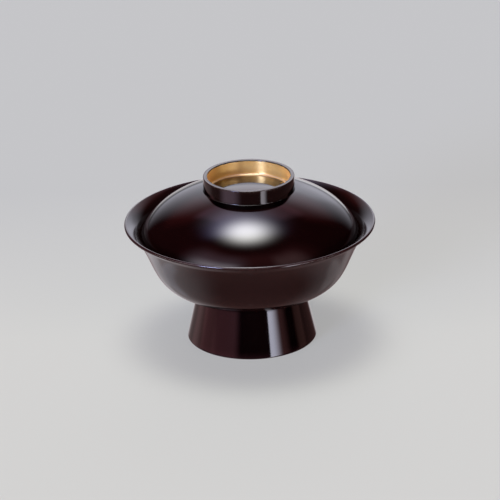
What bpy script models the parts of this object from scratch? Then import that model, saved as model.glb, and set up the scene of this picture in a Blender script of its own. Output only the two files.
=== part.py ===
"""Lidded lacquer bowl: a turned wooden bowl on a tall foot, with a domed lid that sits down inside the flared
lip and is lifted by a grip ring, gilded on its inside. Everything is turned about the Z axis."""

import math

import bpy
import numpy as np

# Driving dimensions, in metres and degrees
CLEARANCE = 0.0003

RIM_RADIUS = 0.068
RIM_HEIGHT = 0.0666
RIM_THICKNESS = 0.0018
LIP_WIDTH = 0.0057
LIP_DROP = 0.0048
LIP_SLOPE = 25
WALL_SLOPE = 56
WALL_THICKNESS = 0.0019
FLOOR_THICKNESS = 0.0042
BELLY_SLOPE = 7
BELLY_SPREAD = 0.0265
BELLY_RISE = 0.0201

FOOT_HEIGHT = 0.0276
FOOT_BASE_RADIUS = 0.0353
FOOT_TOP_RADIUS = 0.0291
FOOT_WALL = 0.0034
FOOT_EDGE = 0.0007
SPIGOT_LENGTH = 0.004

LID_SEAT_DROP = 0.0059
LID_EDGE_THICKNESS = 0.0016
LID_THICKNESS = 0.003
DOME_RISE = 0.0273
DOME_CROWN = 0.0224
DOME_SHOULDER = 0.0194
DOME_EDGE_SLOPE = 67

RING_RADIUS = 0.0247
RING_HEIGHT = 0.0079
RING_WALL = 0.0016
RING_LIP = 0.0009
RING_EDGE = 0.0007
RING_GROOVE = 0.001
WELL_DEPTH = 0.0011
LINING_THICKNESS = 0.0004

# Facets round the axis, and points along each stretch of a profile
SIDES = 56
BELLY_POINTS = 11
FLOOR_POINTS = 4
LIP_POINTS = 6
DOME_POINTS = 13
HALF_ROUND_POINTS = 7
QUARTER_ROUND_POINTS = 4
AXIS_MERGE = 0.00001

# Colours as red, green, blue in linear light
BOWL_COLOUR = (0.021, 0.008, 0.008)
FOOT_COLOUR = (0.026, 0.008, 0.01)
LID_COLOUR = (0.016, 0.005, 0.005)
RING_COLOUR = (0.012, 0.005, 0.005)
GOLD_COLOUR = (0.6, 0.33, 0.1)
LACQUER_ROUGHNESS = 0.08
GOLD_ROUGHNESS = 0.25


# A profile point is a complex number: its radius plus 1j times its height
def heading(degrees):
    """The unit step that climbs outwards at this angle from the horizontal."""
    angle = math.radians(degrees)
    return complex(math.cos(angle), math.sin(angle))


def bezier(start, leave, arrive, end, count):
    """Points along a cubic Bezier curve, and the unit tangent at each of them."""
    t = np.linspace(0, 1, count)
    points = (1 - t)**3 * start + 3 * (1 - t)**2 * t * leave + 3 * (1 - t) * t**2 * arrive + t**3 * end
    speed = (1 - t)**2 * (leave - start) + 2 * (1 - t) * t * (arrive - leave) + t**2 * (end - arrive)
    return points, speed / abs(speed)


def arc(centre, radius, first, last, count):
    """Points round a circle, from one angle to another."""
    return [centre + radius * heading(angle) for angle in np.linspace(first, last, count)]


def corner(point, slope, other, other_slope):
    """Where two lines meet, each given by a point and a slope in degrees."""
    step, other_step = heading(slope), heading(other_slope)
    cross = (step.conjugate() * other_step).imag
    return point + step * ((other - point).conjugate() * other_step).imag / cross


def height_at(points, radius):
    """Height of a profile that runs outwards, at this radius."""
    return float(np.interp(radius, [p.real for p in points], [p.imag for p in points]))


def lacquer(name, colour, roughness=LACQUER_ROUGHNESS, metallic=0.0):
    material = bpy.data.materials.new(name)
    material.use_nodes = True
    shader = material.node_tree.nodes["Principled BSDF"]
    shader.inputs["Base Color"].default_value = (*colour, 1)
    shader.inputs["Roughness"].default_value = roughness
    shader.inputs["Metallic"].default_value = metallic
    return material


def turned(name, profile, closed, material, parent, collection):
    """One named piece: its profile, turned a full circle about Z."""
    count = len(profile)
    edges = [(i, i + 1) for i in range(count - 1)]
    if closed:
        edges.append((count - 1, 0))
    mesh = bpy.data.meshes.new(name)
    mesh.from_pydata([(p.real, 0, p.imag) for p in profile], edges, [])
    mesh.materials.append(material)
    piece = bpy.data.objects.new(name, mesh)
    collection.objects.link(piece)
    piece.parent = parent
    screw = piece.modifiers.new("turn", "SCREW")
    screw.axis = "Z"
    screw.steps = SIDES
    screw.render_steps = SIDES
    screw.use_smooth_shade = True
    screw.use_merge_vertices = True
    screw.merge_threshold = AXIS_MERGE
    return piece


def axis_empty(name, collection):
    """The frame of one rigid body, on the turning axis."""
    empty = bpy.data.objects.new(name, None)
    empty.empty_display_size = RIM_RADIUS
    collection.objects.link(empty)
    return empty


def bowl_curves():
    """The bowl's outer side from foot to lip, and its inner side from the floor's edge to the lip."""
    seat = complex(FOOT_TOP_RADIUS, FOOT_HEIGHT + CLEARANCE)
    lip_start = complex(RIM_RADIUS - LIP_WIDTH, RIM_HEIGHT - LIP_DROP)
    rim_centre = complex(RIM_RADIUS - RIM_THICKNESS / 2, RIM_HEIGHT)
    lip_end = rim_centre - 1j * heading(LIP_SLOPE) * RIM_THICKNESS / 2
    bend = corner(lip_start, WALL_SLOPE, lip_end, LIP_SLOPE)
    belly, belly_way = bezier(
        seat,
        seat + BELLY_SPREAD * heading(BELLY_SLOPE),
        lip_start - BELLY_RISE * heading(WALL_SLOPE),
        lip_start,
        BELLY_POINTS,
    )
    lip, lip_way = bezier(
        lip_start,
        (lip_start + 2 * bend) / 3,
        (lip_end + 2 * bend) / 3,
        lip_end,
        LIP_POINTS,
    )
    belly_wall = np.linspace(FLOOR_THICKNESS, WALL_THICKNESS, len(belly))
    lip_wall = np.linspace(WALL_THICKNESS, RIM_THICKNESS, len(lip))
    outer = np.concatenate([belly, lip[1:]])
    wall = np.concatenate([belly_wall, lip_wall[1:]])
    way = np.concatenate([belly_way, lip_way[1:]])
    return outer, outer + 1j * way * wall, rim_centre


def bowl_profile(outer, inner, rim_centre):
    """Up the inside from the floor's middle, over the rim, and down the outside to the spigot."""
    edge = inner[0]
    middle = complex(0, edge.imag - edge.real * math.tan(math.radians(BELLY_SLOPE)) / 2)
    level = complex(edge.real / 2, middle.imag)
    floor, _ = bezier(middle, (middle + 2 * level) / 3, (edge + 2 * level) / 3, edge, FLOOR_POINTS)
    rim = arc(rim_centre, RIM_THICKNESS / 2, LIP_SLOPE + 90, LIP_SLOPE - 90, HALF_ROUND_POINTS)
    seat_height = outer[0].imag
    spigot_end = seat_height - SPIGOT_LENGTH
    spigot = [
        complex(spigot_radius(), seat_height),
        complex(spigot_radius(), spigot_end),
        complex(0, spigot_end),
    ]
    return [*floor[:-1], *inner[:-1], *rim, *outer[-2::-1], *spigot]


def spigot_radius():
    return FOOT_TOP_RADIUS - FOOT_WALL - CLEARANCE


def foot_profile():
    """A flaring ring, open underneath, with a socket in its top for the bowl's spigot."""
    socket = FOOT_TOP_RADIUS - FOOT_WALL
    socket_end = FOOT_HEIGHT - SPIGOT_LENGTH
    flare = math.degrees(math.atan2(FOOT_HEIGHT, FOOT_BASE_RADIUS - FOOT_TOP_RADIUS))
    outer_centre = complex(FOOT_BASE_RADIUS - FOOT_EDGE, FOOT_EDGE)
    inner_centre = complex(FOOT_BASE_RADIUS - FOOT_WALL + FOOT_EDGE, FOOT_EDGE)
    outer_edge = arc(outer_centre, FOOT_EDGE, 90 - flare, -90, QUARTER_ROUND_POINTS)
    inner_edge = arc(inner_centre, FOOT_EDGE, -90, -180, QUARTER_ROUND_POINTS)
    return [
        complex(FOOT_TOP_RADIUS, FOOT_HEIGHT),
        *outer_edge,
        *inner_edge,
        complex(socket, socket_end),
        complex(socket, FOOT_HEIGHT),
    ]


def lid_edge_centre(inner):
    """Middle of the lid's rounded edge, which rests on the bowl's inner wall."""
    seat_height = RIM_HEIGHT - LID_SEAT_DROP
    seat = complex(float(np.interp(seat_height, inner.imag, inner.real)), seat_height)
    above = int(np.searchsorted(inner.imag, seat_height))
    along = inner[above] - inner[above - 1]
    return seat + 1j * along / abs(along) * (LID_EDGE_THICKNESS / 2 + CLEARANCE)


def dome_curves(edge_centre):
    """The lid's outer and inner side, both from the crown to the edge."""
    edge_out = edge_centre + heading(90 - DOME_EDGE_SLOPE) * LID_EDGE_THICKNESS / 2
    crown = complex(0, edge_centre.imag + DOME_RISE)
    outer, way = bezier(
        crown,
        crown + DOME_CROWN,
        edge_out - DOME_SHOULDER * heading(-DOME_EDGE_SLOPE),
        edge_out,
        DOME_POINTS,
    )
    wall = np.linspace(LID_THICKNESS, LID_EDGE_THICKNESS, len(outer))
    return outer, outer - 1j * way * wall


def ring_bore():
    return RING_RADIUS - RING_WALL


def groove_floor(dome):
    return height_at(dome, RING_RADIUS) - RING_GROOVE


def well_floor(dome, radius):
    """Height of the floor inside the ring, which follows the dome but is turned a little deeper."""
    return height_at(dome, radius) - WELL_DEPTH


def lid_profile(dome, hollow, edge_centre):
    """Across the ring's well and groove, down the dome, round the edge, and up the hollow underside."""
    groove_in = ring_bore() - CLEARANCE
    groove_out = RING_RADIUS + CLEARANCE
    groove = [
        complex(groove_in, well_floor(dome, groove_in)),
        complex(groove_in, groove_floor(dome)),
        complex(groove_out, groove_floor(dome)),
        complex(groove_out, height_at(dome, groove_out)),
    ]
    well = [p - 1j * WELL_DEPTH for p in dome if p.real < groove_in - CLEARANCE]
    outside = [p for p in dome if p.real > groove_out + CLEARANCE]
    edge = arc(
        edge_centre,
        LID_EDGE_THICKNESS / 2,
        90 - DOME_EDGE_SLOPE,
        -90 - DOME_EDGE_SLOPE,
        HALF_ROUND_POINTS,
    )
    return [*well, *groove, *outside[:-1], *edge, *hollow[-2::-1]]


def ring_profile(dome):
    """The grip ring: a plain band let into the lid, with a rounded lip that reaches over its lining."""
    top = height_at(dome, RING_RADIUS) + RING_HEIGHT
    base = groove_floor(dome) + CLEARANCE
    lip_radius = lining_radius()
    outer_centre = complex(RING_RADIUS - RING_EDGE, top - RING_EDGE)
    inner_centre = complex(lip_radius + RING_EDGE, top - RING_EDGE)
    outer_edge = arc(outer_centre, RING_EDGE, 90, 0, QUARTER_ROUND_POINTS)
    inner_edge = arc(inner_centre, RING_EDGE, 180, 90, QUARTER_ROUND_POINTS)
    return [
        *outer_edge,
        complex(RING_RADIUS, base),
        complex(ring_bore(), base),
        complex(ring_bore(), top - RING_LIP),
        complex(lip_radius, top - RING_LIP),
        *inner_edge,
    ]


def lining_radius():
    return ring_bore() - CLEARANCE - LINING_THICKNESS


def lining_profile(dome):
    """The gilded band inside the ring, standing on the well's floor below the ring's lip."""
    top = height_at(dome, RING_RADIUS) + RING_HEIGHT - RING_LIP - CLEARANCE
    base = well_floor(dome, lining_radius()) + CLEARANCE
    outer = lining_radius() + LINING_THICKNESS
    return [
        complex(outer, top),
        complex(outer, base),
        complex(lining_radius(), base),
        complex(lining_radius(), top),
    ]


def clear_scene():
    for leftover in list(bpy.data.objects):
        bpy.data.objects.remove(leftover, do_unlink=True)


def main():
    clear_scene()
    collection = bpy.data.collections.new("lidded_lacquer_bowl")
    bpy.context.scene.collection.children.link(collection)
    bowl_body = axis_empty("bowl_axis", collection)
    lid_body = axis_empty("lid_axis", collection)

    outer, inner, rim_centre = bowl_curves()
    edge_centre = lid_edge_centre(inner)
    dome, hollow = dome_curves(edge_centre)

    bowl = lacquer("bowl_lacquer", BOWL_COLOUR)
    foot = lacquer("foot_lacquer", FOOT_COLOUR)
    lid = lacquer("lid_lacquer", LID_COLOUR)
    ring = lacquer("ring_lacquer", RING_COLOUR)
    gold = lacquer("gold_leaf", GOLD_COLOUR, GOLD_ROUGHNESS, metallic=1.0)

    turned("bowl", bowl_profile(outer, inner, rim_centre), False, bowl, bowl_body, collection)
    turned("foot", foot_profile(), True, foot, bowl_body, collection)
    turned("lid", lid_profile(dome, hollow, edge_centre), False, lid, lid_body, collection)
    turned("lid_ring", ring_profile(dome), True, ring, lid_body, collection)
    turned("ring_lining", lining_profile(dome), True, gold, lid_body, collection)


main()
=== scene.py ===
"""Looks of the lidded lacquer bowl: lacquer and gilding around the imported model, in a plain studio."""

import math

import bpy
import numpy as np
from mathutils import Matrix, Vector


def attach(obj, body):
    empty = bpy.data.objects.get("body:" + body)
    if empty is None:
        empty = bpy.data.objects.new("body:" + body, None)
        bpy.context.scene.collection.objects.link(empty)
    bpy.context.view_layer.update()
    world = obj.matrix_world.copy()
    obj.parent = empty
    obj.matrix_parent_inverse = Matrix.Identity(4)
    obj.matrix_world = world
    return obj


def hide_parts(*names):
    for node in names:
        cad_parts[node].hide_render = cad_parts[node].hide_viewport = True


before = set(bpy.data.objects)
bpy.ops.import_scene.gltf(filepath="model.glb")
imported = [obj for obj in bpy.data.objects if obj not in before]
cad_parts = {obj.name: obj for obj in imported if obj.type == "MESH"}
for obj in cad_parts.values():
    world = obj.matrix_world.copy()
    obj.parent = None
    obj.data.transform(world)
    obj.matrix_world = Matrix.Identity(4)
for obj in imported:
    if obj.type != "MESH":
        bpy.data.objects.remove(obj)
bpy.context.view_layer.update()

# Driving dimensions of the part, in metres and degrees
CLEARANCE = 0.0003

RIM_RADIUS = 0.068
RIM_HEIGHT = 0.0666
RIM_THICKNESS = 0.0018
LIP_WIDTH = 0.0057
LIP_DROP = 0.0048
LIP_SLOPE = 25
WALL_SLOPE = 56
WALL_THICKNESS = 0.0019
FLOOR_THICKNESS = 0.0042
BELLY_SLOPE = 7
BELLY_SPREAD = 0.0265
BELLY_RISE = 0.0201

FOOT_HEIGHT = 0.0276
FOOT_BASE_RADIUS = 0.0353
FOOT_TOP_RADIUS = 0.0291
FOOT_WALL = 0.0034
FOOT_EDGE = 0.0007
SPIGOT_LENGTH = 0.004

LID_SEAT_DROP = 0.0059
LID_EDGE_THICKNESS = 0.0016
LID_THICKNESS = 0.003
DOME_RISE = 0.0273
DOME_CROWN = 0.0224
DOME_SHOULDER = 0.0194
DOME_EDGE_SLOPE = 67

RING_RADIUS = 0.0247
RING_HEIGHT = 0.0079
RING_WALL = 0.0016
WELL_DEPTH = 0.0011
LINING_THICKNESS = 0.0004

# Small forms that only the looks have
FOOT_FILLET = 0.0018
FOOT_SHOULDER = 0.001
RING_ROUND = 0.0004
RING_FILLET = 0.0004
RING_SINK = 0.0004
GILDING_DROP = 0.00055
LINING_FILLET = 0.0011
LINING_SINK = 0.0002

# How far pieces lap into each other out of sight, and how far off a fillet takes its bearing
JOINT_LAP = 0.00005
SHOULDER_LAP = 0.0001
BELLY_LAP = 0.0003
FILLET_BEARING = 0.004

# How far the lacquer lies thin from an edge
THIN_RIM = 0.0022
THIN_FOOT = 0.005
THIN_LID = 0.0016
THIN_RING = 0.0016

# Painted shade, where the lacquer's reflection is turned down to darken the gap between lid and bowl, the
# foot's joint and the belly's underside: heights on the bowl's lip, the lid's edge and the foot, a radius
# under the belly, and the share on the ring's lip. The turn gives the shares of the lid's radius at which
# its two sides, across X, begin and are full.
PLAIN_SHINE = 0.5
SHADE_SHINE = 0.04
SHADE_REACH = 0.0018
SHADE_LIP_BAND = (0.0585, 0.0636)
SHADE_LID = 0.0628
SHADE_LID_SIDES = 0.0669
SHADE_TURN = (0.8, 0.95)
SHADE_UNDER = 0.0435
SHADE_FOOT = 0.0256
RING_LIP_SHADE = 0.4

# Painted shade, near black, in the corner round the foot of the ring
CORNER_SHADE_WIDTH = 0.0042
CORNER_SHADE_REACH = 0.0018
CORNER_SHADE_COLOUR = (0.0003, 0.0001, 0.0001)

# Lacquer: faint clouds, a fine grain and a slow wave from polishing
CLOUD_SCALE = 38
CLOUD_DETAIL = 3.0
CLOUD_RANGE = (0.35, 0.65)
GRAIN_SCALE = 1400
GRAIN_DEPTH = 0.0000012
WAVE_SCALE = 55
WAVE_DETAIL = 1.0
WAVE_DEPTH = 0.00002
SMOOTHEST = 0.85
ROUGHEST = 1.2
LACQUER_IOR = 1.58

# Gilding: patches of two tones, specks of powder, and the bead painted paler as a painted highlight
PATCH_SCALE = 160
PATCH_DETAIL = 3.0
PATCH_RANGE = (0.3, 0.7)
POWDER_SCALE = 2600
POWDER_RANGE = (0.45, 0.75)
POWDER_SHARE = 0.35
POWDER_DEPTH = 0.000002
GOLD_DEEP = (0.95, 0.6, 0.19)
GOLD_PALE = (1.0, 0.68, 0.245)
GOLD_SPECK = (0.8, 0.45, 0.12)
GOLD_BEAD_HIGHLIGHT = (1.0, 0.82, 0.56)
GOLD_ROUGHNESS = (0.28, 0.34)
GOLD_STREAK = 0.88
STREAK_TURN = 0.25
GOLD_METAL = 0.55
BEAD_MIDDLE = slice(3, 5)
BEAD_REACH = 0.0006

# Facets round the axis, and points along each stretch of a profile
SIDES = 192
BELLY_POINTS = 44
FLOOR_POINTS = 18
LIP_POINTS = 16
DOME_POINTS = 64
WALL_POINTS = 6
FOOT_POINTS = 40
ROUND_POINTS = 12
FILLET_POINTS = 8
AXIS_MERGE = 0.00001
SHARP_ANGLE = 50

# Camera, from the photograph's perspective
CAMERA_ELEVATION = 24.06
CAMERA_DISTANCE = 1.632
CAMERA_SIDE = -0.00019
CAMERA_AIM_HEIGHT = 0.0495
CAMERA_ROLL = 1.28
CAMERA_LENS = 213.5
SENSOR_WIDTH = 36


# A profile point is a complex number: its radius plus 1j times its height
def heading(degrees):
    """The unit step that climbs outwards at this angle from the horizontal."""
    angle = math.radians(degrees)
    return complex(math.cos(angle), math.sin(angle))


def bezier(start, leave, arrive, end, count):
    """Points along a cubic Bezier curve, and the unit tangent at each of them."""
    t = np.linspace(0, 1, count)
    points = (1 - t)**3 * start + 3 * (1 - t)**2 * t * leave + 3 * (1 - t) * t**2 * arrive + t**3 * end
    speed = (1 - t)**2 * (leave - start) + 2 * (1 - t) * t * (arrive - leave) + t**2 * (end - arrive)
    return points, speed / abs(speed)


def arc(centre, radius, first, last, count):
    """Points round a circle, from one angle to another."""
    return [centre + radius * heading(angle) for angle in np.linspace(first, last, count)]


def line(start, end, count):
    """Evenly spaced points from start to end."""
    return list(start + (end - start) * np.linspace(0, 1, count))


def corner(point, slope, other, other_slope):
    """Where two lines meet, each given by a point and a slope in degrees."""
    step, other_step = heading(slope), heading(other_slope)
    cross = (step.conjugate() * other_step).imag
    return point + step * ((other - point).conjugate() * other_step).imag / cross


def fillet(before, point, after, radius, count=FILLET_POINTS):
    """A rounded corner of that radius, in place of the point between two others."""
    back = (before - point) / abs(before - point)
    ahead = (after - point) / abs(after - point)
    half_angle = math.acos(max(-1.0, min(1.0, (back.conjugate() * ahead).real))) / 2
    reach = radius / math.tan(half_angle)
    start = point + back * reach
    end = point + ahead * reach
    middle = (back + ahead) / abs(back + ahead)
    centre = point + middle * radius / math.sin(half_angle)
    first = np.angle(start - centre)
    turn = np.angle((end - centre) / (start - centre))
    return [centre + radius * np.exp(1j * (first + turn * t)) for t in np.linspace(0, 1, count)]


def height_at(points, radius):
    """Height of a profile that runs outwards, at this radius."""
    return float(np.interp(radius, [p.real for p in points], [p.imag for p in points]))


def turned(name, profile, closed):
    """One smooth piece: its profile, turned a full circle about Z."""
    count = len(profile)
    edges = [(i, i + 1) for i in range(count - 1)]
    if closed:
        edges.append((count - 1, 0))
    outline = bpy.data.meshes.new(name)
    outline.from_pydata([(p.real, 0, p.imag) for p in profile], edges, [])
    piece = bpy.data.objects.new(name, outline)
    bpy.context.scene.collection.objects.link(piece)
    screw = piece.modifiers.new("turn", "SCREW")
    screw.axis = "Z"
    screw.steps = SIDES
    screw.render_steps = SIDES
    screw.use_smooth_shade = True
    screw.use_merge_vertices = True
    screw.merge_threshold = AXIS_MERGE
    screw.use_normal_calculate = True
    graph = bpy.context.evaluated_depsgraph_get()
    mesh = bpy.data.meshes.new_from_object(piece.evaluated_get(graph))
    piece.modifiers.clear()
    piece.data = mesh
    bpy.data.meshes.remove(outline)
    mesh.name = name
    mesh.set_sharp_from_angle(angle=math.radians(SHARP_ANGLE))
    return piece


# Profiles, from the same dimensions as the part and more finely drawn
def bowl_curves():
    """The bowl's outer side from foot to lip, and its inner side from the floor's edge to the lip."""
    seat = complex(FOOT_TOP_RADIUS, FOOT_HEIGHT + CLEARANCE)
    lip_start = complex(RIM_RADIUS - LIP_WIDTH, RIM_HEIGHT - LIP_DROP)
    rim_centre = complex(RIM_RADIUS - RIM_THICKNESS / 2, RIM_HEIGHT)
    lip_end = rim_centre - 1j * heading(LIP_SLOPE) * RIM_THICKNESS / 2
    bend = corner(lip_start, WALL_SLOPE, lip_end, LIP_SLOPE)
    belly, belly_way = bezier(
        seat,
        seat + BELLY_SPREAD * heading(BELLY_SLOPE),
        lip_start - BELLY_RISE * heading(WALL_SLOPE),
        lip_start,
        BELLY_POINTS,
    )
    lip, lip_way = bezier(
        lip_start,
        (lip_start + 2 * bend) / 3,
        (lip_end + 2 * bend) / 3,
        lip_end,
        LIP_POINTS,
    )
    belly_wall = np.linspace(FLOOR_THICKNESS, WALL_THICKNESS, len(belly))
    lip_wall = np.linspace(WALL_THICKNESS, RIM_THICKNESS, len(lip))
    outer = np.concatenate([belly, lip[1:]])
    wall = np.concatenate([belly_wall, lip_wall[1:]])
    way = np.concatenate([belly_way, lip_way[1:]])
    return outer, outer + 1j * way * wall, rim_centre


def bowl_profile(outer, inner, rim_centre):
    """Up the inside from the floor's middle, over the rim, and down the outside to the spigot."""
    edge = inner[0]
    middle = complex(0, edge.imag - edge.real * math.tan(math.radians(BELLY_SLOPE)) / 2)
    level = complex(edge.real / 2, middle.imag)
    floor, _ = bezier(middle, (middle + 2 * level) / 3, (edge + 2 * level) / 3, edge, FLOOR_POINTS)
    rim = arc(rim_centre, RIM_THICKNESS / 2, LIP_SLOPE + 90, LIP_SLOPE - 90, ROUND_POINTS * 2)
    spigot_radius = FOOT_TOP_RADIUS - FOOT_WALL - CLEARANCE
    spigot_end = outer[0].imag - SPIGOT_LENGTH
    spigot = [
        complex(spigot_radius, outer[0].imag),
        complex(spigot_radius, spigot_end),
        complex(0, spigot_end),
    ]
    return [*floor[:-1], *inner[:-1], *rim, *outer[-2::-1], *spigot]


def foot_profile(outer):
    """A flaring ring, open underneath, whose top is drawn into the belly by a small fillet."""
    flare = math.degrees(math.atan2(FOOT_HEIGHT, FOOT_BASE_RADIUS - FOOT_TOP_RADIUS))
    bearing = FOOT_TOP_RADIUS + FILLET_BEARING
    belly_point = complex(bearing, height_at(outer, bearing))
    outer_centre = complex(FOOT_BASE_RADIUS - FOOT_EDGE, FOOT_EDGE)
    inner_centre = complex(FOOT_BASE_RADIUS - FOOT_WALL + FOOT_EDGE, FOOT_EDGE)
    outer_edge = arc(outer_centre, FOOT_EDGE, 90 - flare, -90, ROUND_POINTS)
    inner_edge = arc(inner_centre, FOOT_EDGE, -90, -180, ROUND_POINTS)
    joint = complex(FOOT_TOP_RADIUS - JOINT_LAP, FOOT_HEIGHT + CLEARANCE)
    blend = fillet(belly_point, joint, outer_edge[0], FOOT_FILLET)
    wall = line(blend[-1], outer_edge[0], FOOT_POINTS)
    socket = FOOT_TOP_RADIUS - FOOT_WALL
    socket_end = FOOT_HEIGHT - SPIGOT_LENGTH
    hollow = line(inner_edge[-1], complex(socket, socket_end), WALL_POINTS)
    return [
        *blend,
        *wall[1:-1],
        *outer_edge,
        *inner_edge[1:],
        *hollow[1:],
        complex(socket, FOOT_HEIGHT),
        complex(FOOT_TOP_RADIUS - FOOT_SHOULDER, FOOT_HEIGHT + CLEARANCE + SHOULDER_LAP),
        blend[0] + 1j * BELLY_LAP,
    ]


def lid_edge_centre(inner):
    """Middle of the lid's rounded edge, which rests on the bowl's inner wall."""
    seat_height = RIM_HEIGHT - LID_SEAT_DROP
    seat = complex(float(np.interp(seat_height, inner.imag, inner.real)), seat_height)
    above = int(np.searchsorted(inner.imag, seat_height))
    along = inner[above] - inner[above - 1]
    return seat + 1j * along / abs(along) * (LID_EDGE_THICKNESS / 2 + CLEARANCE)


def dome_curves(edge_centre):
    """The lid's outer and inner side, both from the crown to the edge."""
    edge_out = edge_centre + heading(90 - DOME_EDGE_SLOPE) * LID_EDGE_THICKNESS / 2
    crown = complex(0, edge_centre.imag + DOME_RISE)
    outer, way = bezier(
        crown,
        crown + DOME_CROWN,
        edge_out - DOME_SHOULDER * heading(-DOME_EDGE_SLOPE),
        edge_out,
        DOME_POINTS,
    )
    wall = np.linspace(LID_THICKNESS, LID_EDGE_THICKNESS, len(outer))
    return outer, outer - 1j * way * wall


def well_floor(dome, radius):
    """Height of the floor inside the ring, which follows the dome but is turned a little deeper."""
    return height_at(dome, radius) - WELL_DEPTH


def lid_profile(dome, hollow, edge_centre):
    """Across the ring's well, down the dome, round its edge, and up the hollow underside."""
    step = RING_RADIUS - RING_WALL / 2
    well = [p - 1j * WELL_DEPTH for p in dome if p.real < step - CLEARANCE]
    outside = [p for p in dome if p.real > step + CLEARANCE]
    rise = [complex(step, well_floor(dome, step)), complex(step, height_at(dome, step))]
    edge = arc(
        edge_centre,
        LID_EDGE_THICKNESS / 2,
        90 - DOME_EDGE_SLOPE,
        -90 - DOME_EDGE_SLOPE,
        ROUND_POINTS,
    )
    return [*well, *rise, *outside[:-1], *edge, *hollow[-2::-1]]


def ring_profile(dome):
    """The grip ring: a band that rises from the lid by a fillet, with a rounded lip over its lining."""
    foot_height = height_at(dome, RING_RADIUS)
    top = foot_height + RING_HEIGHT
    base = foot_height - RING_SINK
    bore = RING_RADIUS - RING_WALL
    lip_radius = bore - CLEARANCE - LINING_THICKNESS
    bearing = RING_RADIUS + FILLET_BEARING
    outside = complex(bearing, height_at(dome, bearing))
    foot_point = complex(RING_RADIUS, foot_height)
    outer_centre = complex(RING_RADIUS - RING_ROUND, top - RING_ROUND)
    inner_centre = complex(lip_radius + RING_ROUND, top - RING_ROUND)
    outer_edge = arc(outer_centre, RING_ROUND, 90, 0, ROUND_POINTS)
    inner_edge = arc(inner_centre, RING_ROUND, 180, 90, ROUND_POINTS)
    foot_fillet = fillet(outer_edge[-1], foot_point, outside, RING_FILLET)
    wall = line(outer_edge[-1], foot_fillet[0], WALL_POINTS)
    return [
        *outer_edge,
        *wall[1:-1],
        *foot_fillet,
        complex(foot_fillet[-1].real, base),
        complex(bore, base),
        complex(bore, top - GILDING_DROP),
        complex(lip_radius, top - GILDING_DROP),
        *inner_edge[:-1],
    ]


def lining_bead(dome):
    """The hollow fillet by which the gilding runs out into the well's floor, from the wall inwards."""
    face = RING_RADIUS - RING_WALL - CLEARANCE - LINING_THICKNESS
    inside = face - FILLET_BEARING
    top = complex(face, height_at(dome, RING_RADIUS) + RING_HEIGHT - GILDING_DROP)
    foot_point = complex(face, well_floor(dome, face))
    well = complex(inside, well_floor(dome, inside))
    return fillet(top, foot_point, well, LINING_FILLET)


def lining_profile(dome):
    """The gilded band inside the ring, with the bead at its foot."""
    top = height_at(dome, RING_RADIUS) + RING_HEIGHT - GILDING_DROP
    face = RING_RADIUS - RING_WALL - CLEARANCE - LINING_THICKNESS
    outer = RING_RADIUS - RING_WALL
    run_out = lining_bead(dome)
    wall = line(complex(face, top), run_out[0], WALL_POINTS)
    return [
        complex(outer, well_floor(dome, face) - LINING_SINK),
        run_out[-1] - 1j * LINING_SINK,
        *run_out[::-1],
        *wall[-2::-1],
        complex(outer, top),
    ]


# Materials
def add(tree, kind, **values):
    """A new node, with its properties set by name."""
    node = tree.nodes.new(kind)
    for name, value in values.items():
        setattr(node, name, value)
    return node


def noise(tree, position, scale, detail=2.0):
    """A soft random value between 0 and 1."""
    node = add(tree, "ShaderNodeTexNoise")
    node.inputs["Scale"].default_value = scale
    node.inputs["Detail"].default_value = detail
    tree.links.new(position, node.inputs["Vector"])
    return node.outputs["Fac"]


def spread(tree, value, low, high, start=0.0, end=1.0):
    """A value between start and end, carried to between low and high."""
    node = add(tree, "ShaderNodeMapRange")
    node.inputs["From Min"].default_value = start
    node.inputs["From Max"].default_value = end
    node.inputs["To Min"].default_value = low
    node.inputs["To Max"].default_value = high
    tree.links.new(value, node.inputs["Value"])
    return node.outputs["Result"]


def mixed(tree, share, first, second):
    """A colour between two others. Each is a colour or a socket."""
    node = add(tree, "ShaderNodeMix", data_type="RGBA")
    tree.links.new(share, node.inputs["Factor"])
    for socket, colour in ((node.inputs[6], first), (node.inputs[7], second)):
        if isinstance(colour, tuple):
            socket.default_value = (*colour, 1)
        else:
            tree.links.new(colour, socket)
    return node.outputs[2]


def bump(tree, height, depth, normal=None):
    """A surface raised by a height, up to a depth in metres, on top of another normal if there is one."""
    node = add(tree, "ShaderNodeBump")
    node.inputs["Strength"].default_value = 1.0
    node.inputs["Distance"].default_value = depth
    tree.links.new(height, node.inputs["Height"])
    if normal is not None:
        tree.links.new(normal, node.inputs["Normal"])
    return node.outputs["Normal"]


def attribute(tree, name):
    """A value that mark() has stored on the mesh."""
    return add(tree, "ShaderNodeAttribute", attribute_name=name).outputs["Fac"]


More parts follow.
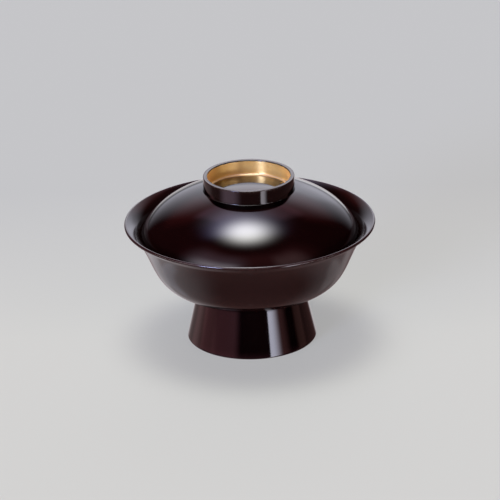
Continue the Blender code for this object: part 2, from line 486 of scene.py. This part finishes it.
def lacquer(name, deep, warm, thin, roughness, corner_shade=False):
    """Polished lacquer: dark and slightly clouded, redder where it lies thin over the edges, with painted
    shade where its reflection is turned down in gaps, and, if asked, painted shade blacker in a corner."""
    material = bpy.data.materials.new(name)
    material.use_nodes = True
    tree = material.node_tree
    shader = tree.nodes["Principled BSDF"]
    position = add(tree, "ShaderNodeTexCoord").outputs["Object"]
    cloud = spread(tree, noise(tree, position, CLOUD_SCALE, CLOUD_DETAIL), 0, 1, *CLOUD_RANGE)
    grain = noise(tree, position, GRAIN_SCALE)
    wave = noise(tree, position, WAVE_SCALE, WAVE_DETAIL)
    body = mixed(tree, cloud, deep, warm)
    body = mixed(tree, attribute(tree, "thin_edge"), body, thin)
    # Painted shade: near-black colour in the corner round the ring's foot
    if corner_shade:
        body = mixed(tree, attribute(tree, "corner_shade"), body, CORNER_SHADE_COLOUR)
    tree.links.new(body, shader.inputs["Base Color"])
    matt = spread(tree, cloud, roughness * SMOOTHEST, roughness * ROUGHEST)
    tree.links.new(matt, shader.inputs["Roughness"])
    polish = bump(tree, wave, WAVE_DEPTH)
    tree.links.new(bump(tree, grain, GRAIN_DEPTH, polish), shader.inputs["Normal"])
    # Painted shade: where the mark lies, the reflection is turned down, so gaps and joints go dark
    shine = spread(tree, attribute(tree, "painted_shade"), PLAIN_SHINE, SHADE_SHINE)
    tree.links.new(shine, shader.inputs["Specular IOR Level"])
    shader.inputs["IOR"].default_value = LACQUER_IOR
    return material


def gilding(name):
    """Gold powder over lacquer, polished as it turned: warm, a little uneven, streaked up and down, with
    a painted highlight on its bead.
    """
    material = bpy.data.materials.new(name)
    material.use_nodes = True
    tree = material.node_tree
    shader = tree.nodes["Principled BSDF"]
    position = add(tree, "ShaderNodeTexCoord").outputs["Object"]
    patches = spread(tree, noise(tree, position, PATCH_SCALE, PATCH_DETAIL), 0, 1, *PATCH_RANGE)
    powder = noise(tree, position, POWDER_SCALE)
    specks = spread(tree, powder, 0, POWDER_SHARE, *POWDER_RANGE)
    tone = mixed(tree, patches, GOLD_DEEP, GOLD_PALE)
    tone = mixed(tree, specks, tone, GOLD_SPECK)
    # Painted highlight: the bead's gold is painted paler
    tone = mixed(tree, attribute(tree, "bead_highlight"), tone, GOLD_BEAD_HIGHLIGHT)
    tree.links.new(tone, shader.inputs["Base Color"])
    tree.links.new(spread(tree, patches, *GOLD_ROUGHNESS), shader.inputs["Roughness"])
    tree.links.new(bump(tree, powder, POWDER_DEPTH), shader.inputs["Normal"])
    around = add(tree, "ShaderNodeTangent", direction_type="RADIAL", axis="Z")
    tree.links.new(around.outputs["Tangent"], shader.inputs["Tangent"])
    shader.inputs["Anisotropic"].default_value = GOLD_STREAK
    shader.inputs["Anisotropic Rotation"].default_value = STREAK_TURN
    shader.inputs["Metallic"].default_value = GOLD_METAL
    return material


def nearness(places, points, reach):
    """How near each place is to some points of the profile: 1 at a point, and 0 beyond the reach."""
    gap = np.min([abs(places - p) for p in points], axis=0)
    return np.clip(1 - gap / reach, 0, 1)**2


def mark(piece, name, points, reach, most=1.0, side_points=()):
    """Stores how near each vertex is to points of the profile, and at the two sides to more points, as a
    value for the material."""
    count = len(piece.data.vertices)
    places = np.empty(count * 3)
    piece.data.vertices.foreach_get("co", places)
    places = places.reshape(-1, 3)
    radius = np.hypot(places[:, 0], places[:, 1])
    here = radius + 1j * places[:, 2]
    share = most * nearness(here, points, reach)
    if len(side_points):
        start, full = SHADE_TURN
        sideways = abs(places[:, 0]) / np.maximum(radius, AXIS_MERGE)
        side = np.clip((sideways - start) / (full - start), 0, 1)
        share = np.maximum(share, side * nearness(here, side_points, reach))
    layer = piece.data.attributes.new(name, "FLOAT", "POINT")
    layer.data.foreach_set("value", share.astype(np.float32))


def dress(piece, material, body, node):
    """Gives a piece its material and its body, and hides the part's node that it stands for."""
    piece.data.materials.clear()
    piece.data.materials.append(material)
    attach(piece, body)
    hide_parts(node)


# The five pieces
outer, inner, rim_centre = bowl_curves()
edge_centre = lid_edge_centre(inner)
dome, hollow = dome_curves(edge_centre)

bowl = turned("bowl_turned", bowl_profile(outer, inner, rim_centre), False)
foot_outline = foot_profile(outer)
foot = turned("foot_turned", foot_outline, True)
lid = turned("lid_turned", lid_profile(dome, hollow, edge_centre), False)
ring = turned("lid_ring_turned", ring_profile(dome), True)
lining = turned("ring_lining_gilded", lining_profile(dome), True)

# Marks on them: thin edges, painted shade in the gaps, joints and round the ring's foot, and a painted
# highlight on the bead
rim_tip = rim_centre + heading(LIP_SLOPE) * RIM_THICKNESS / 2
lid_tip = edge_centre + heading(-DOME_EDGE_SLOPE) * LID_EDGE_THICKNESS / 2
ring_foot = complex(RING_RADIUS, height_at(dome, RING_RADIUS))
ring_lip = ring_foot - RING_WALL / 2 + 1j * RING_HEIGHT
mark(bowl, "thin_edge", [rim_tip], THIN_RIM)
mark(foot, "thin_edge", [complex(FOOT_BASE_RADIUS, 0)], THIN_FOOT)
mark(lid, "thin_edge", [lid_tip], THIN_LID)
mark(ring, "thin_edge", [ring_lip], THIN_RING)

# Painted shade as dulled reflection: the bowl's lip band and the lid's edge darken the gap between them,
# with the foot's joint, the belly's underside, the lid's two sides across X and the ring's lip
shaded_lip = [p for p in inner if SHADE_LIP_BAND[0] < p.imag < SHADE_LIP_BAND[1]]
shaded_under = [p for p in outer if p.real < SHADE_UNDER]
shaded_joint = [p for p in foot_outline if p.imag > SHADE_FOOT]
shaded_lid_edge = [p for p in dome if p.imag < SHADE_LID]
shaded_lid_sides = [p for p in dome if p.imag < SHADE_LID_SIDES]
mark(bowl, "painted_shade", shaded_lip + shaded_under, SHADE_REACH)
mark(foot, "painted_shade", shaded_joint, SHADE_REACH)
mark(lid, "painted_shade", shaded_lid_edge, SHADE_REACH, side_points=shaded_lid_sides)
mark(ring, "painted_shade", [ring_lip], THIN_RING, RING_LIP_SHADE)

# Painted shade in the corner where the ring meets the lid, on both pieces
corner_shade_points = [p for p in dome if 0 < p.real - RING_RADIUS < CORNER_SHADE_WIDTH]
mark(lid, "corner_shade", corner_shade_points, CORNER_SHADE_REACH)
mark(ring, "corner_shade", [ring_foot], CORNER_SHADE_REACH)
# Painted highlight along the gilded bead
mark(lining, "bead_highlight", lining_bead(dome)[BEAD_MIDDLE], BEAD_REACH)

# One lacquer in four copies, whose colours are set piece by piece to the darkness that the light gave
# each piece: the blacker foot, ring and lid and the paler bowl are partly painted shade and light
bowl_lacquer = lacquer(
    "bowl_lacquer",
    deep=(0.006, 0.0016, 0.0015),
    warm=(0.008, 0.0022, 0.0021),
    thin=(0.024, 0.008, 0.0075),
    roughness=0.07,
)
foot_lacquer = lacquer(
    "foot_lacquer",
    deep=(0.0016, 0.0003, 0.0004),
    warm=(0.0024, 0.0005, 0.0006),
    thin=(0.016, 0.005, 0.005),
    roughness=0.06,
)
lid_lacquer = lacquer(
    "lid_lacquer",
    deep=(0.0036, 0.0005, 0.0005),
    warm=(0.005, 0.0008, 0.0008),
    thin=(0.014, 0.004, 0.004),
    roughness=0.07,
    corner_shade=True,
)
ring_lacquer = lacquer(
    "ring_lacquer",
    deep=(0.0022, 0.0005, 0.0005),
    warm=(0.003, 0.0007, 0.0007),
    thin=(0.05, 0.024, 0.016),
    roughness=0.06,
    corner_shade=True,
)
gold_leaf = gilding("gold_leaf")

dress(bowl, bowl_lacquer, "bowl_body", "bowl")
dress(foot, foot_lacquer, "bowl_body", "foot")
dress(lid, lid_lacquer, "lid_body", "lid")
dress(ring, ring_lacquer, "lid_body", "lid_ring")
dress(lining, gold_leaf, "lid_body", "ring_lining")


# Studio
FLOOR_COLOUR = (0.585, 0.59, 0.5)
FLOOR_RADIUS = 6.0
FLOOR_SIDES = 96
# The camera sees the floor partly glowing, from NEAR_TONE to the darker FAR_TONE away from it: a painted
# fall-off of light, which also lightens the floor's shadow
FLOOR_GLOW = 0.55
NEAR_TONE = (0.625, 0.64, 0.645)
FAR_TONE = (0.458, 0.484, 0.534)
TONE_RANGE = (0.0, 0.22)

# The softbox overhead, as soft lobes on a level plane one metre up. Its middle and width are in metres,
# across and away from the camera, and the width away is given towards the camera and beyond the middle.
SOFTBOXES = (
    {
        "middle": (-0.035, 0.11),
        "across": 0.166,
        "away": (0.187, 0.183),
        "edge": 1.2,
        "strength": 13.9,
        "tint": (1.0, 0.995, 0.97),
    },
    {
        "middle": (-0.105, 0.18),
        "across": 0.23,
        "away": (0.12, 0.24),
        "edge": 1.2,
        "strength": 1.75,
        "tint": (0.76, 0.76, 1.45),
    },
    {
        "middle": (-0.11, 0.53),
        "across": 0.19,
        "away": (0.15, 0.2),
        "edge": 1.0,
        "strength": 1.0,
        "tint": (0.98, 0.9, 1.1),
    },
)

# Panels round the object. Azimuth in degrees towards the right, from the camera's side or from behind;
# elevation from the horizon. Each range is where a panel starts, is full, is still full, and ends.
PANELS = {
    "backdrop": {
        "behind": True,
        "azimuth": (-40, -6, 11, 47),
        "elevation": (-3, 4, 26, 52),
        "strength": 1.08,
        "tint": (0.98, 0.98, 1.12),
    },
    "backdrop middle": {
        "behind": True,
        "azimuth": (-12, -5, 7, 16),
        "elevation": (18, 23, 30, 34),
        "strength": 1.0,
        "tint": (1.0, 0.99, 1.04),
    },
    "backdrop right": {
        "behind": True,
        "azimuth": (8, 13, 18, 26),
        "elevation": (3, 8, 20, 28),
        "strength": 0.3,
        "tint": (0.96, 0.98, 1.12),
    },
    "backdrop top": {
        "behind": True,
        "azimuth": (-54, -30, 30, 54),
        "elevation": (18, 34, 42, 54),
        "strength": 0.18,
        "tint": (1.0, 0.15, 0.15),
    },
    "high left": {
        "behind": True,
        "azimuth": (-40, -29, -19, -8),
        "elevation": (42, 48, 57, 66),
        "strength": 0.3,
        "tint": (1.0, 0.6, 0.9),
    },
    "high right": {
        "behind": True,
        "azimuth": (6, 17, 28, 40),
        "elevation": (42, 48, 57, 66),
        "strength": 0.3,
        "tint": (1.0, 0.5, 0.65),
    },
    "front fill": {
        "behind": False,
        "azimuth": (-22, -14, 14, 22),
        "elevation": (5, 8, 12, 15),
        "strength": 2.6,
        "tint": (1.0, 0.98, 0.95),
    },
    "left fill": {
        "behind": False,
        "azimuth": (-49, -41, -31, -23),
        "elevation": (6, 9, 14, 18),
        "strength": 26.0,
        "tint": (1.0, 1.22, 2.2),
    },
    "left side fill": {
        "behind": False,
        "azimuth": (-98, -88, -58, -46),
        "elevation": (6, 8, 9, 12),
        "strength": 8.5,
        "tint": (1.0, 0.93, 0.88),
    },
    "right side fill": {
        "behind": False,
        "azimuth": (28, 40, 74, 90),
        "elevation": (5, 7, 8, 10),
        "strength": 12.0,
        "tint": (1.0, 0.96, 0.95),
    },
    "left key": {
        "behind": False,
        "azimuth": (-80, -45, -24, -6),
        "elevation": (9, 18, 26, 44),
        "strength": 2.2,
        "tint": (1.0, 0.95, 1.06),
    },
    "left key halo": {
        "behind": False,
        "azimuth": (-90, -56, -28, 5),
        "elevation": (12, 26, 38, 62),
        "strength": 0.45,
        "tint": (0.98, 0.84, 1.08),
    },
    "right strip": {
        "behind": False,
        "azimuth": (30.6, 32.2, 35.5, 56),
        "elevation": (-14, -4, 4, 14),
        "strength": 6.7,
        "tint": (0.95, 0.95, 1.15),
    },
    "right strip foot": {
        "behind": False,
        "azimuth": (28, 30, 35, 47),
        "elevation": (-45, -28, -14, -4),
        "strength": 3.4,
        "tint": (1.0, 0.95, 1.05),
    },
    "right strip tail": {
        "behind": False,
        "azimuth": (40, 46, 56, 74),
        "elevation": (-6, -3, 1, 4),
        "strength": 0.4,
        "tint": (1.0, 0.4, 0.4),
    },
    "right halo": {
        "behind": False,
        "azimuth": (22, 38, 52, 76),
        "elevation": (8, 22, 38, 60),
        "strength": 0.35,
        "tint": (1.0, 0.66, 0.68),
    },
    "front glow": {
        "behind": False,
        "azimuth": (-100, -50, 50, 95),
        "elevation": (18, 32, 48, 70),
        "strength": 0.2,
        "tint": (1.0, 0.28, 0.3),
    },
    "left wall": {
        "behind": False,
        "azimuth": (-82, -64, -36, -20),
        "elevation": (-7, -3, 2, 6),
        "strength": 0.45,
        "tint": (1.0, 0.36, 0.44),
    },
    "left wall side": {
        "behind": False,
        "azimuth": (-118, -100, -76, -62),
        "elevation": (-9, -6.5, -4, -1.5),
        "strength": 0.5,
        "tint": (1.0, 0.4, 0.45),
    },
    "left wall end": {
        "behind": False,
        "azimuth": (-140, -122, -104, -92),
        "elevation": (-20, -14, -8, -5),
        "strength": 0.34,
        "tint": (1.0, 0.5, 0.52),
    },
    "right wall": {
        "behind": False,
        "azimuth": (84, 94, 106, 116),
        "elevation": (-10, -8, -5.5, -3),
        "strength": 0.2,
        "tint": (1.0, 0.45, 0.4),
    },
    "left table": {
        "behind": False,
        "azimuth": (-85, -58, -44, -16),
        "elevation": (-42, -30, -20, -12),
        "strength": 0.85,
        "tint": (1.0, 0.72, 0.92),
    },
    "table behind": {
        "behind": True,
        "azimuth": (-34, -8, 14, 30),
        "elevation": (-27, -20, -5, 0),
        "strength": 0.7,
        "tint": (0.99, 0.99, 1.03),
    },
    "table behind left": {
        "behind": True,
        "azimuth": (-78, -60, -36, -14),
        "elevation": (-34, -24, -10, -4),
        "strength": 0.18,
        "tint": (1.0, 0.85, 0.87),
    },
    "table edge left": {
        "behind": True,
        "azimuth": (-46, -36, -16, -8),
        "elevation": (-42, -38, -33, -28),
        "strength": 0.24,
        "tint": (0.95, 1.02, 1.12),
    },
    "table edge right": {
        "behind": True,
        "azimuth": (12, 22, 40, 52),
        "elevation": (-40, -36, -33, -28),
        "strength": 0.17,
        "tint": (1.0, 0.98, 1.0),
    },
    "table corner left": {
        "behind": True,
        "azimuth": (-60, -50, -40, -33),
        "elevation": (-54, -48, -41, -36),
        "strength": 0.2,
        "tint": (0.9, 1.0, 1.25),
    },
    "table corner right": {
        "behind": True,
        "azimuth": (32, 41, 52, 62),
        "elevation": (-50, -45, -39, -33),
        "strength": 0.18,
        "tint": (1.0, 0.95, 0.97),
    },
    "horizon right": {
        "behind": True,
        "azimuth": (0, 6, 14, 24),
        "elevation": (-9, -6, -3, 1),
        "strength": 0.55,
        "tint": (1.0, 1.0, 1.08),
    },
    "table below left": {
        "behind": True,
        "azimuth": (-130, -80, -20, 24),
        "elevation": (-75, -45, -30, -20),
        "strength": 0.45,
        "tint": (1.0, 0.98, 1.02),
    },
    "table below right": {
        "behind": True,
        "azimuth": (0, 40, 60, 100),
        "elevation": (-75, -45, -30, -20),
        "strength": 0.18,
        "tint": (1.0, 0.98, 1.02),
    },
    "underneath": {
        "behind": False,
        "azimuth": (-181, -180, 180, 181),
        "elevation": (-91, -90, -75, -40),
        "strength": 0.1,
        "tint": (1.0, 0.55, 0.52),
    },
}
DIM_ROOM = (0.012, 0.005, 0.006)
TABLE_SHADE = (0.11, 0.05, 0.048)
ROOM_EDGE = (-0.02, 0.02)
TABLE_EDGE = (-0.07, -0.2)
LOWEST_UP = 0.01


def studio_floor():
    """A pale floor, which shows in no reflection; to the camera it partly glows, darker away from the
    camera, as painted light.
    """
    bpy.ops.mesh.primitive_circle_add(vertices=FLOOR_SIDES, radius=FLOOR_RADIUS, fill_type="NGON")
    floor = bpy.context.object
    floor.name = "floor"
    floor.visible_glossy = False
    paper = bpy.data.materials.new("studio_paper")
    paper.use_nodes = True
    tree = paper.node_tree
    shader = tree.nodes["Principled BSDF"]
    shader.inputs["Base Color"].default_value = (*FLOOR_COLOUR, 1)
    shader.inputs["Roughness"].default_value = 1.0
    shader.inputs["Specular IOR Level"].default_value = 0.0
    glow = add(tree, "ShaderNodeEmission")
    place = add(tree, "ShaderNodeSeparateXYZ")
    tree.links.new(add(tree, "ShaderNodeTexCoord").outputs["Object"], place.inputs["Vector"])
    depth = spread(tree, place.outputs["Y"], 0, 1, *TONE_RANGE)
    tree.links.new(mixed(tree, depth, NEAR_TONE, FAR_TONE), glow.inputs["Color"])
    share = add(tree, "ShaderNodeMath", operation="MULTIPLY")
    share.inputs[1].default_value = FLOOR_GLOW
    tree.links.new(add(tree, "ShaderNodeLightPath").outputs["Is Camera Ray"], share.inputs[0])
    seen = add(tree, "ShaderNodeMixShader")
    tree.links.new(share.outputs[0], seen.inputs["Fac"])
    tree.links.new(shader.outputs[0], seen.inputs[1])
    tree.links.new(glow.outputs[0], seen.inputs[2])
    tree.links.new(seen.outputs[0], tree.nodes["Material Output"].inputs["Surface"])
    floor.data.materials.append(paper)


class StudioWorld:
    """The studio's light, as a world in which each softbox and panel lies in its own direction."""

    def __init__(self, name):
        self.world = bpy.data.worlds.new(name)
        self.world.use_nodes = True
        self.tree = self.world.node_tree
        self.light = None

    def math(self, kind, *values):
        """The result of one sum, from numbers and sockets."""
        node = add(self.tree, "ShaderNodeMath", operation=kind)
        for socket, value in zip(node.inputs, values):
            if isinstance(value, (int, float)):
                socket.default_value = value
            else:
                self.tree.links.new(value, socket)
        return node.outputs["Value"]

    def ease(self, value, start, end):
        """Smoothly from 0 at start to 1 at end."""
        node = add(self.tree, "ShaderNodeMapRange", interpolation_type="SMOOTHSTEP")
        node.inputs["From Min"].default_value = min(start, end)
        node.inputs["From Max"].default_value = max(start, end)
        node.inputs["To Min"].default_value = 0 if start < end else 1
        node.inputs["To Max"].default_value = 1 if start < end else 0
        self.tree.links.new(value, node.inputs["Value"])
        return node.outputs["Result"]

    def window(self, value, start, full, still, end):
        """Up from 0 at start to 1 at full, and down from 1 at still to 0 at end."""
        return self.math("MULTIPLY", self.ease(value, start, full), self.ease(value, end, still))

    def lobe(self, across, away, softbox):
        """The share of one soft lobe's light at a place on the plane."""
        middle_across, middle_away = softbox["middle"]
        near, far = softbox["away"]
        side = self.math("DIVIDE", self.math("SUBTRACT", across, middle_across), softbox["across"])
        depth = self.math("SUBTRACT", away, middle_away)
        beyond = self.math("DIVIDE", self.math("MAXIMUM", depth, 0), far)
        before = self.math("DIVIDE", self.math("MINIMUM", depth, 0), near)
        depth = self.math("ADD", beyond, before)
        gap = self.math("ADD", self.math("MULTIPLY", side, side), self.math("MULTIPLY", depth, depth))
        fall = self.math("MULTIPLY", self.math("POWER", gap, softbox["edge"]), -0.5)
        return self.math("EXPONENT", fall)

    def shine(self, share, strength, tint):
        """Adds light of one tint, where the share is above 0."""
        glow = add(self.tree, "ShaderNodeBackground")
        glow.inputs["Color"].default_value = (*tint, 1)
        self.tree.links.new(self.math("MULTIPLY", share, strength), glow.inputs["Strength"])
        if self.light is None:
            self.light = glow.outputs[0]
            return
        both = add(self.tree, "ShaderNodeAddShader")
        self.tree.links.new(self.light, both.inputs[0])
        self.tree.links.new(glow.outputs[0], both.inputs[1])
        self.light = both.outputs[0]

    def build(self):
        """The world, with all its light and the plain backdrop that the camera sees."""
        tree = self.tree
        direction = add(tree, "ShaderNodeSeparateXYZ")
        tree.links.new(add(tree, "ShaderNodeTexCoord").outputs["Generated"], direction.inputs["Vector"])
        across, away, up = direction.outputs
        to_degrees = math.degrees(1)
        towards = self.math("MULTIPLY", away, -1)
        from_front = self.math("MULTIPLY", self.math("ARCTAN2", across, towards), to_degrees)
        from_behind = self.math("MULTIPLY", self.math("ARCTAN2", across, away), to_degrees)
        elevation = self.math("MULTIPLY", self.math("ARCSINE", up), to_degrees)

        above = self.math("MAXIMUM", up, LOWEST_UP)
        plane_across = self.math("DIVIDE", across, above)
        plane_away = self.math("DIVIDE", away, above)
        for softbox in SOFTBOXES:
            share = self.lobe(plane_across, plane_away, softbox)
            self.shine(share, softbox["strength"], softbox["tint"])

        for panel in PANELS.values():
            azimuth = from_behind if panel["behind"] else from_front
            wide = self.window(azimuth, *panel["azimuth"])
            high = self.window(elevation, *panel["elevation"])
            self.shine(self.math("MULTIPLY", wide, high), panel["strength"], panel["tint"])

        self.shine(self.ease(up, *ROOM_EDGE), 1.0, DIM_ROOM)
        self.shine(self.ease(up, *TABLE_EDGE), 1.0, TABLE_SHADE)

        backdrop = add(tree, "ShaderNodeBackground")
        backdrop.inputs["Color"].default_value = (*FAR_TONE, 1)
        seen = add(tree, "ShaderNodeMixShader")
        tree.links.new(add(tree, "ShaderNodeLightPath").outputs["Is Camera Ray"], seen.inputs["Fac"])
        tree.links.new(self.light, seen.inputs[1])
        tree.links.new(backdrop.outputs[0], seen.inputs[2])
        tree.links.new(seen.outputs[0], tree.nodes["World Output"].inputs["Surface"])
        return self.world


studio_floor()
bpy.context.scene.world = StudioWorld("studio").build()

# Camera
camera_data = bpy.data.cameras.new("camera")
camera_data.lens = CAMERA_LENS
camera_data.sensor_width = SENSOR_WIDTH
camera_data.sensor_fit = "HORIZONTAL"
camera = bpy.data.objects.new("camera", camera_data)
bpy.context.scene.collection.objects.link(camera)
elevation = math.radians(CAMERA_ELEVATION)
camera.location = (
    CAMERA_SIDE,
    -CAMERA_DISTANCE * math.cos(elevation),
    CAMERA_DISTANCE * math.sin(elevation),
)
aim = Vector((CAMERA_SIDE, 0, CAMERA_AIM_HEIGHT)) - camera.location
level = aim.to_track_quat("-Z", "Y").to_matrix()
roll = Matrix.Rotation(math.radians(-CAMERA_ROLL), 3, "Z")
camera.rotation_euler = (level @ roll).to_euler()
bpy.context.scene.camera = camera

bpy.context.scene.view_settings.view_transform = "Standard"

bpy.context.view_layer.update()
